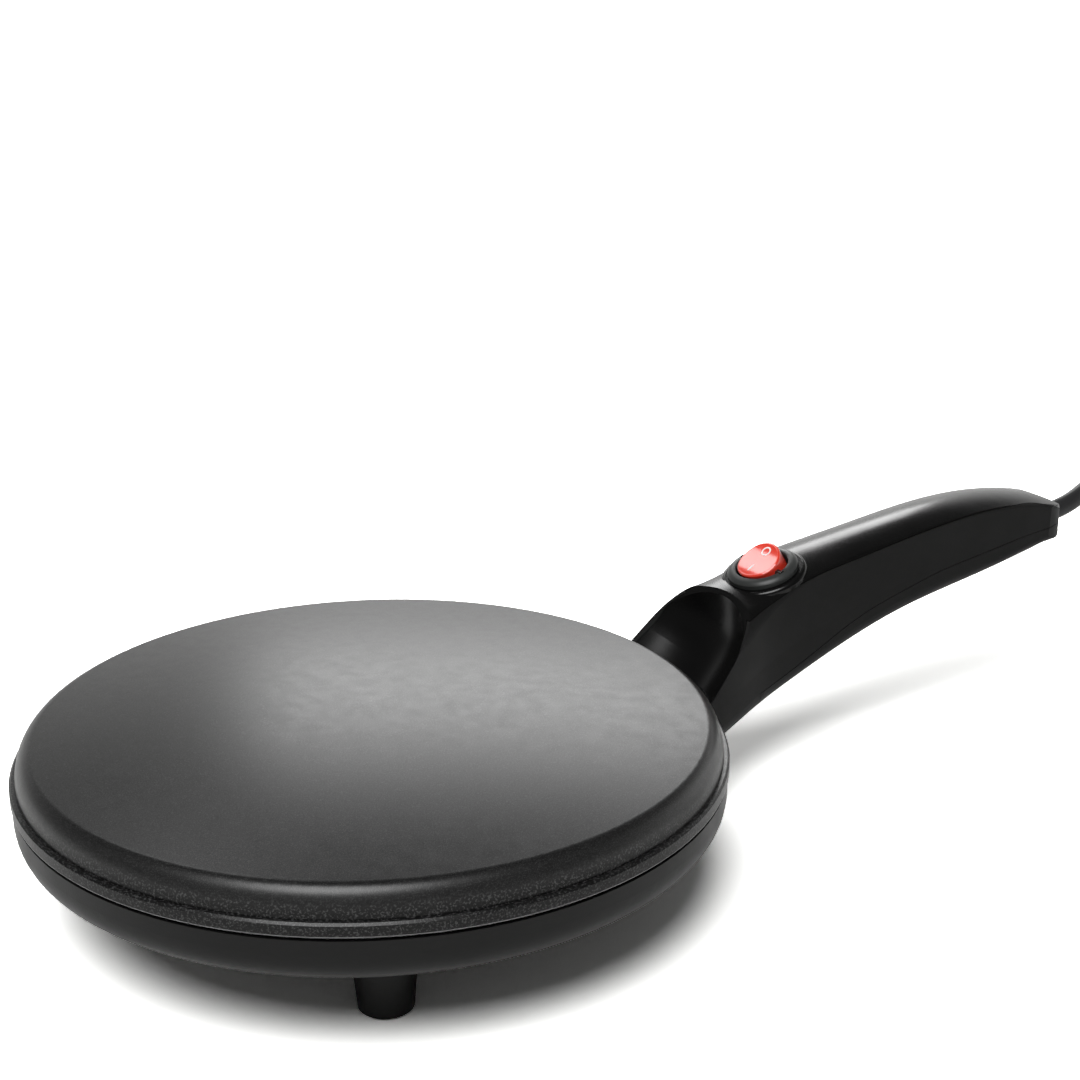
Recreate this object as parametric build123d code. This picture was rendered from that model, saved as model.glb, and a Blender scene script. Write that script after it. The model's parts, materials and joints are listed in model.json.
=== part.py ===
"""Hand-held electric crepe maker: a domed aluminium hot plate on a plastic base with three feet,
a curved hollow handle with a lit rocker switch, and a two-pin mains lead.

Millimetres, +Z up.  The floor under the feet is Z = 0 and +X runs along the handle, away from the
plate.  The origin is under the middle of the body's length, so the plate's axis stands at PLATE_X.
"""
from build123d import *
import math
import os

os.makedirs("parts", exist_ok=True)

# --- overall -------------------------------------------------------------------------------
PLATE_RADIUS = 100.0        # flange of the hot plate
HANDLE_REACH = 273.0        # plate axis to the nose of the handle
SEAM_HEIGHT = 38.0          # joint between plate and base, above the floor

# --- hot plate -----------------------------------------------------------------------------
SEAM_GAP = 0.7              # shadow gap between flange and base
FLANGE_HEIGHT = 4.5         # rim band, from the joint up
STEP_WIDTH = 1.6            # how far the flange stands out of the wall above it
DOME_EDGE_DROP = 4.9        # radial width of the rounded shoulder
SHOULDER_HEIGHT = 8.2
DOME_RISE = 5.0             # rise of the convex face, shoulder to centre
PLATE_WALL = 3.2
ELEMENT_MARGIN = 38.0       # heating element's centre line, in from the flange's edge
ELEMENT_DIAMETER = 6.6
ELEMENT_HEIGHT = 6.0        # centre line above the joint
LEAD_MARGIN = 28.0          # where the element's two leads end, in from the flange's edge
LEAD_SWING = 25.0           # half of the gap in the element's ring
LEAD_BEND = 12.0
RIDGE_WIDTH = 14.0
SCREW_CIRCLE = 46.0         # the three screws that hold the plate down
SCREW_ANGLES = (60, 180, 300)
BOSS_JOINT = 2.0            # plate bosses meet base posts here, above the joint
CLIP_INSET = 9.5            # screws of the element's straps, in from its centre line
CLIP_ANGLES = (90, 150, 210, 270)
THERMOSTAT_DIAMETER = 16.4
THERMOSTAT_HEIGHT = 9.0
PAD_HEIGHT = 11.5           # flat pad for thermostat and fuse, above the joint
FUSE_DIAMETER = 4.0
FUSE_X = 22.0               # fuse from the plate's axis

# --- base ----------------------------------------------------------------------------------
BASE_INSET = 0.4            # the base's side lies this far inside the flange
BASE_WALL = 2.5
BASE_DEPTH = 26.0           # joint to the outside of the floor of the bowl
BASE_BAND = 4.6             # upright part of the bowl's side
# Bowl below the band: share of its radius, share of the depth left
BOWL_CURVE = [(0.803, 0.504), (0.455, 0.910), (0.254, 1.0)]
SHIELD_DROP = 7.0           # heat shield below the joint
SHIELD_MARGIN = 14.5        # edge of the shield, in from the base's side
SHIELD_THICKNESS = 0.8
POST_RADIUS = 5.2
FOOT_CIRCLE = 67.5
FOOT_ANGLES = {"foot_handle_side": 0, "foot_left": 118, "foot_right": 242}
FOOT_TOP_RADIUS = 9.6
FOOT_BOTTOM_RADIUS = 7.4
FOOT_SEAT = 8.0             # where the screw's head bears inside the foot
PAD_RADIUS = 5.4
PAD_THICKNESS = 2.4
PAD_PROUD = 0.6             # how far the rubber pad stands out of its foot
NECK_TOP = -7.0             # neck between base and handle, from the joint
NECK_BOTTOM = -13.0
NECK_WIDTH = 24.0
NECK_SCREW_INSET = 2.1      # neck screws, out from the front of the handle's root
NECK_END = 4.5              # end of the neck, out from its screws
NECK_ROOT = 20.0            # start of the neck, in from the base's side
NECK_SCREW_OFFSET = 8.0

# --- handle --------------------------------------------------------------------------------
HANDLE_WALL = 2.2
NOSE_WIDTH = 12.2           # half width and length of the handle's rounded end in plan
NOSE_LENGTH = 18.0
ROOT_GAP = 1.4              # air between the plate's flange and the handle's root
COVER_GAP = 0.2             # joint lines between the handle's shells
# The tables below are written for this handle: plate's radius and plate axis to nose
NOMINAL_RADIUS = 100.0
NOMINAL_REACH = 273.0
# Sections of the handle, heights from the joint: reach, half width at the bottom, half width at
# the shoulder, bottom, shoulder, crown, bottom corner radius, shoulder radius
HANDLE_SECTIONS = [
    (80.0, 28.2, 27.4, -21.0, 11.6, 17.0, 6.0, 7.5),
    (92.0, 26.0, 25.2, -19.0, 14.0, 19.0, 6.0, 7.5),
    (106.0, 23.8, 23.0, -16.0, 17.2, 20.8, 6.0, 8.5),
    (119.0, 20.6, 19.8, -12.8, 19.6, 22.3, 6.0, 8.5),
    (131.0, 17.4, 15.8, -10.2, 21.8, 24.4, 5.5, 4.5),
    (147.0, 14.8, 13.6, -6.0, 26.3, 28.9, 5.0, 1.4),
    (166.0, 13.2, 12.5, -0.8, 29.2, 31.9, 5.0, 1.2),
    (190.0, 12.6, 12.0, 5.2, 31.6, 34.2, 5.0, 1.2),
    (215.0, 12.4, 11.9, 9.0, 33.6, 35.8, 5.0, 1.2),
    (240.0, 12.0, 11.7, 12.4, 33.2, 35.4, 4.5, 1.2),
    (258.0, 11.9, 11.6, 15.4, 30.4, 32.6, 4.0, 1.2),
    (276.0, 11.8, 11.6, 17.6, 24.0, 26.0, 1.5, 1.0),
]
CAVITY_ROWS = 11            # the hollow ends at this row, and the nose is solid
# Side view lines, (reach, height from the joint)
NOSE_TOP_LINE = [(240, 37.0), (256, 33.6), (265, 29.6), (270, 25.8), (273, 18.6)]
NOSE_BOTTOM_LINE = [(273, 18.6), (271.4, 17.8), (266, 16.9), (250, 13.0)]
ROOT_LINE = [(70, -9.0), (86, -12.0), (96, -16.2), (106, -18.2)]
COVER_LINE = [(80, 21.3), (130, 21.3), (137, 23.3), (148, 26.3), (168, 28.8), (188, 31.0),
              (210, 33.1), (230, 33.8), (241, 33.3), (253, 31.9), (264, 28.4), (280, 21.0)]
PARTING_LINE = [(127, -4.8), (155, 2.8), (178, 10.7), (191, 13.6), (209, 17.2), (224, 18.8),
                (249, 21.3), (280, 21.5)]
SCOOP_LEAN = 45.0           # lean of the thumb recess's rim, away from the plate
SCOOP_APEX_REACH = 126.5
SCOOP_APEX = 23.0
SCOOP_RADIUS = 29.6
SCOOP_LIP = 1.0             # wall left at the rim of the recess
SCOOP_DEPTH = 9.8
SCOOP_FLARE = 5.0           # the recess widens towards the plate, degrees
RIM_SKIN = 1.0              # side shell outside the recess's wall
SCOOP_FLOOR = -4.0
HANDLE_SCREWS = [(172.0, 7.0, 12.0), (226.0, 14.6, 18.4)]   # reach, head seat, post joint

# --- switch --------------------------------------------------------------------------------
SWITCH_REACH = 141.4
SWITCH_HEIGHT = 28.8        # centre of the bezel's face, above the joint
SWITCH_PITCH = 17.0         # the face rises away from the plate
COLLAR_RADIUS = 13.8
COLLAR_HEIGHT = 5.2
BEZEL_RADIUS = 11.3
BEZEL_THICKNESS = 1.6
BARREL_RADIUS = 9.8
BEZEL_RISE = 0.9            # inner rim of the bezel above its outer edge
BARREL_DEPTH = 13.0
ROCKER_HOLE_RADIUS = 8.35
ROCKER_HOLE_DEPTH = 5.4
ROCKER_RADIUS = 7.3
ROCKER_TILT = 17.0          # each way from level
ROCKER_RISE = 2.9           # middle of the rocker's face above the bezel
ROCKER_DISH = 0.7           # how far the middle lies below the two ends
ROCKER_SKIRT = 2.4          # rocker below its pivot
PIVOT_RADIUS = 1.2
PIVOT_REACH = 9.6           # ends of the trunnions from the middle
TERMINAL_PITCH = 5.2
TERMINAL_LENGTH = 7.0
LAMP_RADIUS = 1.5

# --- mains lead ----------------------------------------------------------------------------
CORD_DIAMETER = 5.6
EXIT_HEIGHT = 22.3          # centre of the cord hole in the nose, above the joint
SLEEVE_BASE_RADIUS = 3.4
SLEEVE_TIP_RADIUS = 3.1
SLEEVE_FLANGE = 1.2         # flange inside the nose, out from the sleeve's side
SLEEVE_TIP = (24.0, 4.5, 3.2)      # from the cord hole: along, across, up
CORD_HOLE_REACH = 258.0     # the nose is solid from here on
# Free run from the sleeve's tip: along and across from the nose, share of the tip's height
CORD_ROUTE = [(37.5, 11.0, 0.994), (52.5, 13.2, 0.944), (66.5, 9.0, 0.839), (75.8, -1.0, 0.685),
              (80.0, -14.0, 0.508), (81.0, -29.0, 0.331), (80.5, -44.0, 0.177), (79.5, -59.0, 0.081)]
COIL_CENTRE = (45.0, -75.0)  # from the nose
COIL_RADII = (33.8, 28.2)   # two turns side by side on the floor, one turn on top of them
TAIL_ROUTE = [(30.0, -106.4, 0.25), (15.0, -108.4, 0.70), (0.0, -110.0, 1.0)]  # share of the rise
PLUG_ENTRY = (-14.0, -110.0)
PLUG_HEIGHT = 13.0
PLUG_LENGTH = 36.0
PIN_DIAMETER = 4.8
PIN_LENGTH = 19.0
PIN_SPACING = 19.0
WIRE_DIAMETER = 2.0

# --- fits ----------------------------------------------------------------------------------
HOLE_CLEARANCE = 0.1        # screw holes and seats, on the radius
RUNNING_CLEARANCE = 0.05    # turning pin in its hole, on the radius
SMALL_SCREW = (1.5, 2.75, 2.0)     # shank radius, head radius, head height
LARGE_SCREW = (2.0, 3.75, 3.0)
TINY_SCREW = (1.1, 2.0, 1.4)

PLATE_X = -(HANDLE_REACH - PLATE_RADIUS) / 2
NOSE_X = PLATE_X + HANDLE_REACH
BASE_RADIUS = PLATE_RADIUS - BASE_INSET
SHIELD_RADIUS = BASE_RADIUS - SHIELD_MARGIN
ELEMENT_CIRCLE = PLATE_RADIUS - ELEMENT_MARGIN
ELEMENT_REACH = PLATE_RADIUS - LEAD_MARGIN
CLIP_CIRCLE = ELEMENT_CIRCLE - CLIP_INSET
NECK_SCREW_X = PLATE_X + PLATE_RADIUS + ROOT_GAP + NECK_SCREW_INSET
PLATE_WALL_RADIUS = PLATE_RADIUS - STEP_WIDTH
SHOULDER_TOP = SEAM_HEIGHT + FLANGE_HEIGHT + SHOULDER_HEIGHT
CROWN_TOP = SHOULDER_TOP + DOME_RISE
RIDGE_BOTTOM = SEAM_HEIGHT + ELEMENT_HEIGHT - ELEMENT_DIAMETER / 2
SHIELD_Z = SEAM_HEIGHT - SHIELD_DROP
BASE_BOTTOM = SEAM_HEIGHT - BASE_DEPTH
EXIT_Z = SEAM_HEIGHT + EXIT_HEIGHT


# --- helpers -------------------------------------------------------------------------------
def along(reach):
    """X of a point of the handle, given by its reach from the plate's axis."""
    stretch = (HANDLE_REACH - PLATE_RADIUS) / (NOMINAL_REACH - NOMINAL_RADIUS)
    return PLATE_X + PLATE_RADIUS + (reach - NOMINAL_RADIUS) * stretch


def around(radius, angle):
    """Plan position on a circle about the plate's axis."""
    turn = math.radians(angle)
    return PLATE_X + radius * math.cos(turn), radius * math.sin(turn)


def rod(x, y, bottom, top, radius):
    return Pos(x, y, bottom) * extrude(Circle(radius), top - bottom)


def block(x0, x1, y0, y1, z0, z1):
    return Pos((x0 + x1) / 2, (y0 + y1) / 2, (z0 + z1) / 2) * Box(x1 - x0, y1 - y0, z1 - z0)


def joined(solids):
    first, *others = solids
    return first + others if others else first


def screw(x, y, seat, length, size):
    """Screw driven upwards: the head hangs under the seat and has a cross recess."""
    shank, head, height = size
    body = rod(x, y, seat - height, seat, head) + rod(x, y, seat, seat + length, shank)
    slot = head * 0.6
    body -= block(x - slot, x + slot, y - 0.4, y + 0.4, seat - height, seat - height * 0.5)
    return body - block(x - 0.4, x + 0.4, y - slot, y + slot, seat - height, seat - height * 0.5)


def bend_radii(points):
    """Radius of each bend of a run, as large as the shorter neighbour allows."""
    radii = []
    for before, here, after in zip(points, points[1:], points[2:]):
        first = Vector(*here) - Vector(*before)
        second = Vector(*after) - Vector(*here)
        half_turn = math.radians(first.get_angle(second) / 2)
        radii.append(0.45 * min(first.length, second.length) / math.tan(half_turn))
    return radii


def tube(points, diameter):
    """Round tube along straight runs joined by tangent bends."""
    path = FilletPolyline(*points, radius=bend_radii(points))
    start = Plane(origin=path @ 0, z_dir=path % 0)
    return sweep(start * Circle(diameter / 2), path=path)


def side_outline(points, limit):
    """Everything below (limit low) or above (limit high) a line in the side view."""
    places = [(along(reach), SEAM_HEIGHT + height) for reach, height in points]
    with BuildSketch(Plane.XZ) as area:
        with BuildLine():
            Spline(*places)
            Polyline(places[-1], (places[-1][0], limit), (places[0][0], limit), places[0])
        make_face()
    return extrude(area.sketch, 2 * PLATE_RADIUS, both=True)


# --- hot plate -----------------------------------------------------------------------------
def horseshoe(section):
    """A section swept along the element's centre line."""
    swing = math.radians(LEAD_SWING)
    start = (ELEMENT_CIRCLE * math.cos(swing), ELEMENT_CIRCLE * math.sin(swing))
    lead_x = start[0] + LEAD_BEND * math.cos(swing)
    lead_y = lead_offset()
    left = JernArc(start=start, tangent=(math.sin(swing), -math.cos(swing)),
                   radius=LEAD_BEND, arc_size=90 - LEAD_SWING)
    right = mirror(left, Plane.XZ)
    ring = CenterArc((0, 0), ELEMENT_CIRCLE, LEAD_SWING, 360 - 2 * LEAD_SWING)
    leads = [Line((lead_x, side * lead_y), (ELEMENT_REACH, side * lead_y)) for side in (1, -1)]
    path = Wire([leads[0].edge(), left.edge(), ring.edge(), right.edge(), leads[1].edge()])
    path = Pos(PLATE_X, 0, SEAM_HEIGHT + ELEMENT_HEIGHT) * path
    start_plane = Plane(origin=(PLATE_X + ELEMENT_REACH, lead_y, SEAM_HEIGHT + ELEMENT_HEIGHT),
                        x_dir=(0, -1, 0), z_dir=(-1, 0, 0))
    return sweep(start_plane * section, path=path)


def lead_offset():
    """Distance of the element's two leads from the middle."""
    swing = math.sin(math.radians(LEAD_SWING))
    return ELEMENT_CIRCLE * swing + LEAD_BEND * (swing - 1)


def plate_blank(drop):
    """The plate's outside shape lowered and drawn in by drop."""
    rim_bottom = SEAM_HEIGHT + SEAM_GAP / 2
    rim_top = SEAM_HEIGHT + FLANGE_HEIGHT
    shoulder = PLATE_WALL_RADIUS - DOME_EDGE_DROP
    with BuildSketch(Plane.XZ) as half:
        with BuildLine():
            if drop:
                wall = PLATE_WALL_RADIUS - drop
                edge = (shoulder - drop / 2, SHOULDER_TOP - drop)
                Polyline((0, rim_bottom), (wall, rim_bottom), (wall, rim_top + 1.0), edge)
                TangentArc((0, CROWN_TOP - drop), edge, tangent=(1, 0))
            else:
                edge = 0.6
                Polyline((0, rim_bottom), (PLATE_RADIUS - edge, rim_bottom),
                         (PLATE_RADIUS, rim_bottom + edge), (PLATE_RADIUS, rim_top - edge),
                         (PLATE_RADIUS - edge, rim_top), (PLATE_WALL_RADIUS, rim_top))
                EllipticalCenterArc((shoulder, rim_top), DOME_EDGE_DROP, SHOULDER_HEIGHT, arc_size=90)
                TangentArc((0, CROWN_TOP), (shoulder, SHOULDER_TOP), tangent=(1, 0))
            Line((0, CROWN_TOP - drop), (0, rim_bottom))
        make_face()
    return Pos(PLATE_X, 0, 0) * revolve(half.sketch, Axis.Z)


def clip_places():
    return [around(CLIP_CIRCLE, angle) for angle in CLIP_ANGLES]


def cooking_plate():
    blank = plate_blank(0)
    under = plate_blank(PLATE_WALL)
    ridge = horseshoe(Pos(0, -ELEMENT_DIAMETER / 2 + 6) * Rectangle(RIDGE_WIDTH, 12))
    ribs = [ridge]
    pad_z = SEAM_HEIGHT + PAD_HEIGHT
    for angle in SCREW_ANGLES:
        x, y = around(SCREW_CIRCLE, angle)
        ribs.append(rod(x, y, SEAM_HEIGHT + BOSS_JOINT, CROWN_TOP, POST_RADIUS))
    for x, y in clip_places():
        ribs.append(rod(x, y, RIDGE_BOTTOM, CROWN_TOP, 3.8))
    ribs.append(block(PLATE_X - 12, PLATE_X + FUSE_X + 16, -11, 11, pad_z, CROWN_TOP))
    for side in (1, -1):
        ribs.append(rod(PLATE_X, side * thermostat_screw_offset(), pad_z, CROWN_TOP, 3.6))
    solid = blank - under + [rib & under for rib in ribs]
    channel = ELEMENT_DIAMETER + 2 * HOLE_CLEARANCE
    solid -= horseshoe(Pos(0, -0.1) * Rectangle(channel, ELEMENT_DIAMETER + 0.2))
    hole = LARGE_SCREW[0] + HOLE_CLEARANCE
    for angle in SCREW_ANGLES:
        x, y = around(SCREW_CIRCLE, angle)
        solid -= rod(x, y, SEAM_HEIGHT, SHOULDER_TOP - PLATE_WALL - 1.2, hole)
    hole = SMALL_SCREW[0] + HOLE_CLEARANCE
    for x, y in clip_places():
        solid -= rod(x, y, SEAM_HEIGHT, RIDGE_BOTTOM + 7.5, hole)
    places = [(PLATE_X + FUSE_X + 9, 0)]
    places += [(PLATE_X, side * thermostat_screw_offset()) for side in (1, -1)]
    for x, y in places:
        solid -= rod(x, y, SEAM_HEIGHT, pad_z + 3.4, hole)
    return solid


def heating_element():
    return horseshoe(Circle(ELEMENT_DIAMETER / 2))


def at_leads(make):
    """The same small piece on both of the element's leads."""
    return [make(side * lead_offset()) for side in (1, -1)]


def lead_rod(y, start, end, radius):
    z = SEAM_HEIGHT + ELEMENT_HEIGHT
    plane = Plane(origin=(PLATE_X + start, y, z), z_dir=(1, 0, 0))
    return extrude(plane * Circle(radius), end - start)


def element_seals():
    return at_leads(lambda y: lead_rod(y, ELEMENT_REACH, ELEMENT_REACH + 2.4, 2.7))


def element_pins():
    return at_leads(lambda y: lead_rod(y, ELEMENT_REACH + 2.4, ELEMENT_REACH + 10, 1.1))


def crimp_connectors():
    sleeves = []
    for side in (1, -1):
        y = side * lead_offset()
        tube_outside = lead_rod(y, ELEMENT_REACH + 6, ELEMENT_REACH + 13, 1.9)
        pin_hole = lead_rod(y, ELEMENT_REACH + 6, ELEMENT_REACH + 10, 1.1)
        wire_hole = lead_rod(y, ELEMENT_REACH + 10, ELEMENT_REACH + 13, WIRE_DIAMETER / 2)
        sleeves.append(tube_outside - pin_hole - wire_hole)
    return sleeves


def element_clips():
    straps = []
    for angle in CLIP_ANGLES:
        flat = block(CLIP_CIRCLE - 4.2, ELEMENT_CIRCLE + 6, -4, 4, RIDGE_BOTTOM - 1.0, RIDGE_BOTTOM)
        flat -= rod(CLIP_CIRCLE, 0, RIDGE_BOTTOM - 1.0, RIDGE_BOTTOM, SMALL_SCREW[0] + HOLE_CLEARANCE)
        straps.append(Pos(PLATE_X, 0, 0) * Rot(0, 0, angle) * flat)
    return straps


def element_clip_screws():
    return [screw(x, y, RIDGE_BOTTOM - 1.0, 7.0, SMALL_SCREW) for x, y in clip_places()]


def thermostat_screw_offset():
    return THERMOSTAT_DIAMETER / 2 + 4.2


def thermostat():
    top = SEAM_HEIGHT + PAD_HEIGHT
    flange = rod(PLATE_X, 0, top - 2.5, top, THERMOSTAT_DIAMETER / 2)
    body = rod(PLATE_X, 0, top - THERMOSTAT_HEIGHT, top - 2.5, THERMOSTAT_DIAMETER / 2 - 1.4)
    for side in (1, -1):
        x = PLATE_X + side * (THERMOSTAT_DIAMETER / 2 - 2.4)
        body += block(x - 0.4, x + 0.4, -2.4, 2.4, top - THERMOSTAT_HEIGHT - 4, top - THERMOSTAT_HEIGHT)
    return flange + body


def thermostat_bracket():
    """Strap that presses the thermostat's flange against the pad, with two screwed ears."""
    top = SEAM_HEIGHT + PAD_HEIGHT
    reach = thermostat_screw_offset()
    ring = THERMOSTAT_DIAMETER / 2 - 1.4 + HOLE_CLEARANCE
    strap = block(PLATE_X - 5, PLATE_X + 5, -reach - 4, reach + 4, top - 3.5, top - 2.5)
    strap += rod(PLATE_X, 0, top - 3.5, top - 2.5, ring + 1.8)
    strap -= rod(PLATE_X, 0, top - 3.5, top - 2.5, ring)
    for side in (1, -1):
        y = side * reach
        strap += rod(PLATE_X, y, top - 2.5, top, 3.4)
        strap -= rod(PLATE_X, y, top - 3.5, top, SMALL_SCREW[0] + HOLE_CLEARANCE)
    return strap


def thermostat_screws():
    seat = SEAM_HEIGHT + PAD_HEIGHT - 3.5
    return [screw(PLATE_X, side * thermostat_screw_offset(), seat, 6.5, SMALL_SCREW)
            for side in (1, -1)]


def thermal_fuse():
    top = SEAM_HEIGHT + PAD_HEIGHT
    plane = Plane(origin=(PLATE_X + FUSE_X, -5.75, top - FUSE_DIAMETER / 2), z_dir=(0, 1, 0))
    can = extrude(plane * Circle(FUSE_DIAMETER / 2), 11.5)
    plane = Plane(origin=(PLATE_X + FUSE_X, -10.0, top - FUSE_DIAMETER / 2), z_dir=(0, 1, 0))
    return can + extrude(plane * Circle(0.6), 20.0)


def fuse_clip():
    """Saddle over the fuse with one screwed foot."""
    top = SEAM_HEIGHT + PAD_HEIGHT
    x = PLATE_X + FUSE_X
    half = FUSE_DIAMETER / 2
    saddle = block(x - half - 1.0, x + half + 1.0, -3, 3, top - FUSE_DIAMETER - 0.8, top)
    saddle -= block(x - half, x + half, -3, 3, top - FUSE_DIAMETER, top)
    saddle += block(x + half + 1.0, x + 13, -3, 3, top - 0.8, top)
    return saddle - rod(x + 9, 0, top - 0.8, top, SMALL_SCREW[0] + HOLE_CLEARANCE)


def fuse_clip_screw():
    return screw(PLATE_X + FUSE_X + 9, 0, SEAM_HEIGHT + PAD_HEIGHT - 0.8, 3.8, SMALL_SCREW)


def heat_shield():
    disc = rod(PLATE_X, 0, SHIELD_Z, SHIELD_Z + SHIELD_THICKNESS, SHIELD_RADIUS)
    for angle in SCREW_ANGLES:
        x, y = around(SCREW_CIRCLE, angle)
        disc -= rod(x, y, SHIELD_Z, SHIELD_Z + SHIELD_THICKNESS, POST_RADIUS + HOLE_CLEARANCE)
    return disc


# --- base and feet -------------------------------------------------------------------------
def bowl_blank(inset):
    """The bowl's outside shape drawn in by inset and closed at the joint."""
    top = SEAM_HEIGHT - SEAM_GAP / 2
    band = SEAM_HEIGHT - BASE_BAND
    depth = BASE_DEPTH - BASE_BAND
    curve = [(BASE_RADIUS, band)]
    curve += [(BASE_RADIUS * out, band - depth * down) for out, down in BOWL_CURVE]
    ends = ((0, -1), (-1, 0))
    outside = Spline(*curve, tangents=ends)
    wall = []
    for step in range(7):
        point, heading = outside @ (step / 6), outside % (step / 6)
        wall.append((point.X + inset * heading.Y, point.Y - inset * heading.X))
    with BuildSketch(Plane.XZ) as half:
        with BuildLine():
            Spline(*wall, tangents=ends)
            Polyline(wall[-1], (0, BASE_BOTTOM + inset), (0, top), (BASE_RADIUS - inset, top), wall[0])
        make_face()
    return Pos(PLATE_X, 0, 0) * revolve(half.sketch, Axis.Z)


def neck_block(grow):
    half = NECK_WIDTH / 2 + grow
    return block(PLATE_X + BASE_RADIUS - NECK_ROOT, NECK_SCREW_X + NECK_END, -half, half,
                 SEAM_HEIGHT + NECK_BOTTOM - grow, SEAM_HEIGHT + NECK_TOP + grow)


def base_housing(outer_bowl):
    inner_bowl = bowl_blank(BASE_WALL)
    joint = SEAM_HEIGHT + BOSS_JOINT
    solid = outer_bowl - inner_bowl
    posts = []
    bores = []
    for angle in SCREW_ANGLES:
        x, y = around(SCREW_CIRCLE, angle)
        posts.append(rod(x, y, BASE_BOTTOM, SHIELD_Z, POST_RADIUS + 1.2) & outer_bowl)
        posts.append(rod(x, y, SHIELD_Z, joint, POST_RADIUS))
        bores.append(rod(x, y, 0, SHIELD_Z - 1, LARGE_SCREW[1] + 4 * HOLE_CLEARANCE))
        bores.append(rod(x, y, 0, joint, LARGE_SCREW[0] + HOLE_CLEARANCE))
    for angle in FOOT_ANGLES.values():
        x, y = around(FOOT_CIRCLE, angle)
        posts.append(rod(x, y, BASE_BOTTOM, SHIELD_Z - 4, 4.5) & outer_bowl)
        bores.append(rod(x, y, 0, FOOT_SEAT + 17, SMALL_SCREW[0] + HOLE_CLEARANCE))
    solid += posts
    solid += neck_block(0) - inner_bowl
    for bore in bores:
        solid -= bore
    for side in (1, -1):
        solid -= rod(NECK_SCREW_X, side * NECK_SCREW_OFFSET, 0,
                     SEAM_HEIGHT + NECK_TOP - 1.2, SMALL_SCREW[0] + HOLE_CLEARANCE)
    return solid - block(PLATE_X + BASE_RADIUS - NECK_ROOT, NECK_SCREW_X + NECK_END, -5, 5,
                         SEAM_HEIGHT + NECK_BOTTOM + 1.2, SEAM_HEIGHT + NECK_TOP - 1.2)


def plate_screws():
    length = SHOULDER_TOP - PLATE_WALL - 2.2 - SHIELD_Z + 1
    return [screw(*around(SCREW_CIRCLE, angle), SHIELD_Z - 1, length, LARGE_SCREW)
            for angle in SCREW_ANGLES]


def foot(angle, outer_bowl):
    """Tapered foot that follows the bowl, with a recess for its pad and a screw well."""
    x, y = around(FOOT_CIRCLE, angle)
    height = SEAM_HEIGHT - 14
    cone = Pos(x, y, PAD_PROUD + height / 2) * Cone(FOOT_BOTTOM_RADIUS, FOOT_TOP_RADIUS, height)
    solid = cone - outer_bowl
    solid = max(solid.solids(), key=lambda piece: piece.volume)
    solid -= rod(x, y, 0, PAD_THICKNESS, PAD_RADIUS + HOLE_CLEARANCE)
    solid -= rod(x, y, 0, FOOT_SEAT, SMALL_SCREW[1] + 4 * HOLE_CLEARANCE)
    return solid - rod(x, y, 0, SEAM_HEIGHT, SMALL_SCREW[0] + HOLE_CLEARANCE)


def foot_pads():
    pads = []
    for angle in FOOT_ANGLES.values():
        x, y = around(FOOT_CIRCLE, angle)
        pads.append(chamfer(rod(x, y, 0, PAD_THICKNESS, PAD_RADIUS).edges().sort_by(Axis.Z)[0], 0.4))
    return pads


def foot_screws():
    return [screw(*around(FOOT_CIRCLE, angle), FOOT_SEAT, 16.0, SMALL_SCREW)
            for angle in FOOT_ANGLES.values()]


# --- handle --------------------------------------------------------------------------------
def handle_section(row, inset):
    """One closed cross-section: flat bottom, drafted sides, gently crowned top."""
    reach, bottom_half, top_half, bottom, shoulder, crown, low_radius, high_radius = row
    bottom_half -= inset
    top_half -= inset
    bottom += inset + SEAM_HEIGHT
    shoulder += SEAM_HEIGHT - inset * 0.6
    crown += SEAM_HEIGHT - inset
    waist = top_half + (bottom_half - top_half) * 0.35
    waist_z = bottom + 0.42 * (shoulder - bottom)
    with BuildSketch(Plane.YZ.offset(along(reach))) as outline:
        with BuildLine():
            Polyline((-top_half, shoulder), (-waist, waist_z), (-bottom_half, bottom),
                     (bottom_half, bottom), (waist, waist_z), (top_half, shoulder))
            ThreePointArc((top_half, shoulder), (0, crown), (-top_half, shoulder))
        make_face()
    face = outline.sketch
    for height, radius in ((bottom, low_radius), (shoulder, high_radius)):
        corners = [v for v in face.vertices() if abs(v.Z - height) < 1e-6 and abs(v.Y) > 5]
        face = fillet(corners, max(radius - inset, 0.4))
    return face


def handle_blank(inset, rows):
    return loft(Sketch() + [handle_section(row, inset) for row in rows])


def nose_plan():
    """Plan outline of the handle with its half-round nose, as a tall solid."""
    start = along(60)
    end = NOSE_X - NOSE_LENGTH
    straight = Pos((start + end) / 2, 0) * Rectangle(end - start, 80)
    return extrude(straight + Pos(end, 0) * Ellipse(NOSE_LENGTH, NOSE_WIDTH), 3 * SEAM_HEIGHT)


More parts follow.
